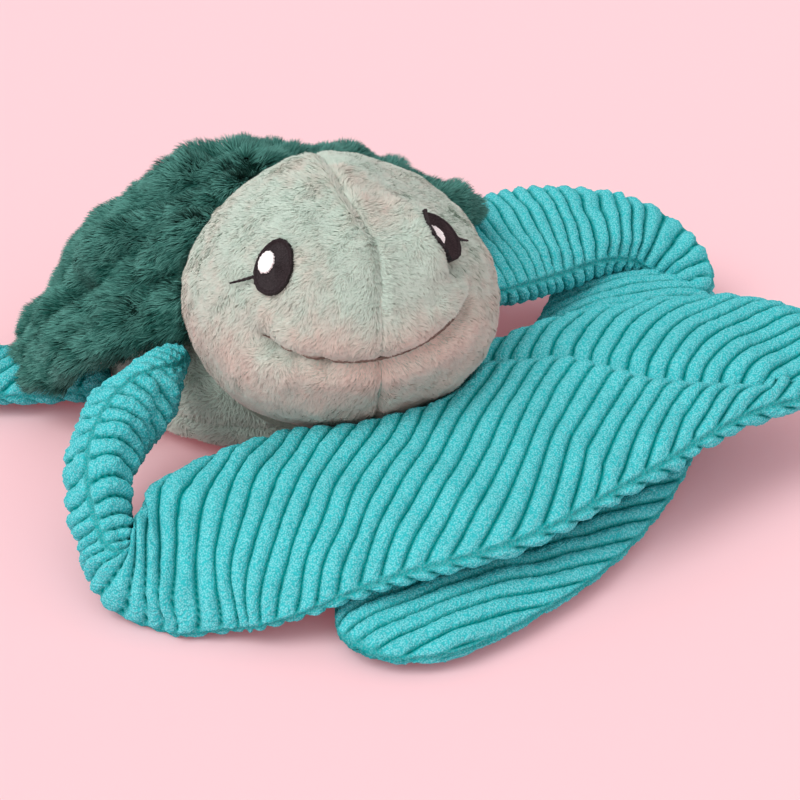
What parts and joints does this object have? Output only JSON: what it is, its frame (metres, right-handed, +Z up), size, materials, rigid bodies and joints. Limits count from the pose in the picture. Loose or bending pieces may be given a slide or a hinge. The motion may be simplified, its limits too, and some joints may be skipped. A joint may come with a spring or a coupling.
{
  "type": "weighted plush toy",
  "caption": "Stuffed sea turtle lying flat with long corduroy front flippers crossed under its chin, a shaggy scalloped shell and a bead weight in the belly.",
  "frame": {"origin": "on the flat of the belly that the toy rests on, under the body and a little in front of the shell's middle", "axes": "+Z up, -Y the way the nose points, +X the turtle's left"},
  "size_m": [0.3955, 0.3571, 0.1416],
  "materials": {
    "sage_plush": "matt short pile",
    "green_pile": "matt long pile",
    "corduroy": "matt wide-ribbed pile",
    "black_thread": "satin embroidery",
    "white_thread": "satin embroidery",
    "sage_thread": "satin thread",
    "fibre": "loose polyester fibre",
    "cotton": "plain weave",
    "beads": "small smooth beads"
  },
  "bodies": {
    "torso": {"belly_panel": "sage_plush", "back_panel": "sage_plush", "body_filling": "fibre", "bead_pouch": "cotton", "bead_fill": "beads", "shell_cover": "green_pile", "shell_padding": "fibre"},
    "neck": {"neck_band": "sage_plush"},
    "head": {"head_panel_right": "sage_plush", "head_panel_left": "sage_plush", "head_filling": "fibre", "eye_patch_right": "black_thread", "eye_patch_left": "black_thread", "eye_glint_right": "white_thread", "eye_glint_left": "white_thread", "lash_stitch_right": "black_thread", "lash_stitch_left": "black_thread", "smile_stitch": "sage_thread"},
    "right_upper_flipper": {"right_upper_flipper_top": "corduroy", "right_upper_flipper_bottom": "corduroy", "right_upper_flipper_filling": "fibre"},
    "right_blade": {"right_blade_top": "corduroy", "right_blade_bottom": "corduroy", "right_blade_filling": "fibre"},
    "left_upper_flipper": {"left_upper_flipper_top": "corduroy", "left_upper_flipper_bottom": "corduroy", "left_upper_flipper_filling": "fibre"},
    "left_blade": {"left_blade_top": "corduroy", "left_blade_bottom": "corduroy", "left_blade_filling": "fibre"},
    "right_rear_flipper": {"right_rear_flipper_top": "corduroy", "right_rear_flipper_bottom": "corduroy", "right_rear_flipper_filling": "fibre"},
    "left_rear_flipper": {"left_rear_flipper_top": "corduroy", "left_rear_flipper_bottom": "corduroy", "left_rear_flipper_filling": "fibre"}
  },
  "joints": [
    {"name": "neck_turn", "type": "hinge", "parent": "torso", "child": "neck", "pos_m": [-0.006, -0.09, 0.086], "axis": [0, 0, 1], "range_deg": [-10, 10]},
    {"name": "head_nod", "type": "hinge", "parent": "neck", "child": "head", "pos_m": [-0.006, -0.09, 0.086], "axis": [-0.9758, 0.2074, -0.0698], "range_deg": [0, 15]},
    {"name": "right_shoulder", "type": "hinge", "parent": "torso", "child": "right_upper_flipper", "pos_m": [-0.06896, -0.05271, 0.05191], "axis": [0, 0, -1], "range_deg": [0, 30]},
    {"name": "right_elbow", "type": "hinge", "parent": "right_upper_flipper", "child": "right_blade", "pos_m": [-0.12449, -0.14562, 0.01602], "axis": [0, 0, -1], "range_deg": [0, 50]},
    {"name": "left_shoulder", "type": "hinge", "parent": "torso", "child": "left_upper_flipper", "pos_m": [0.06941, -0.042, 0.05096], "axis": [0, 0, 1], "range_deg": [0, 20]},
    {"name": "left_elbow", "type": "hinge", "parent": "left_upper_flipper", "child": "left_blade", "pos_m": [0.19741, -0.02581, 0.01305], "axis": [0, 0, 1], "range_deg": [0, 50]},
    {"name": "right_hip", "type": "hinge", "parent": "torso", "child": "right_rear_flipper", "pos_m": [-0.08044, 0.01806, 0.01269], "axis": [0, 0, -1], "range_deg": [-10, 15]},
    {"name": "left_hip", "type": "hinge", "parent": "torso", "child": "left_rear_flipper", "pos_m": [0.08044, 0.01806, 0.01269], "axis": [0, 0, 1], "range_deg": [-10, 15]}
  ]
}
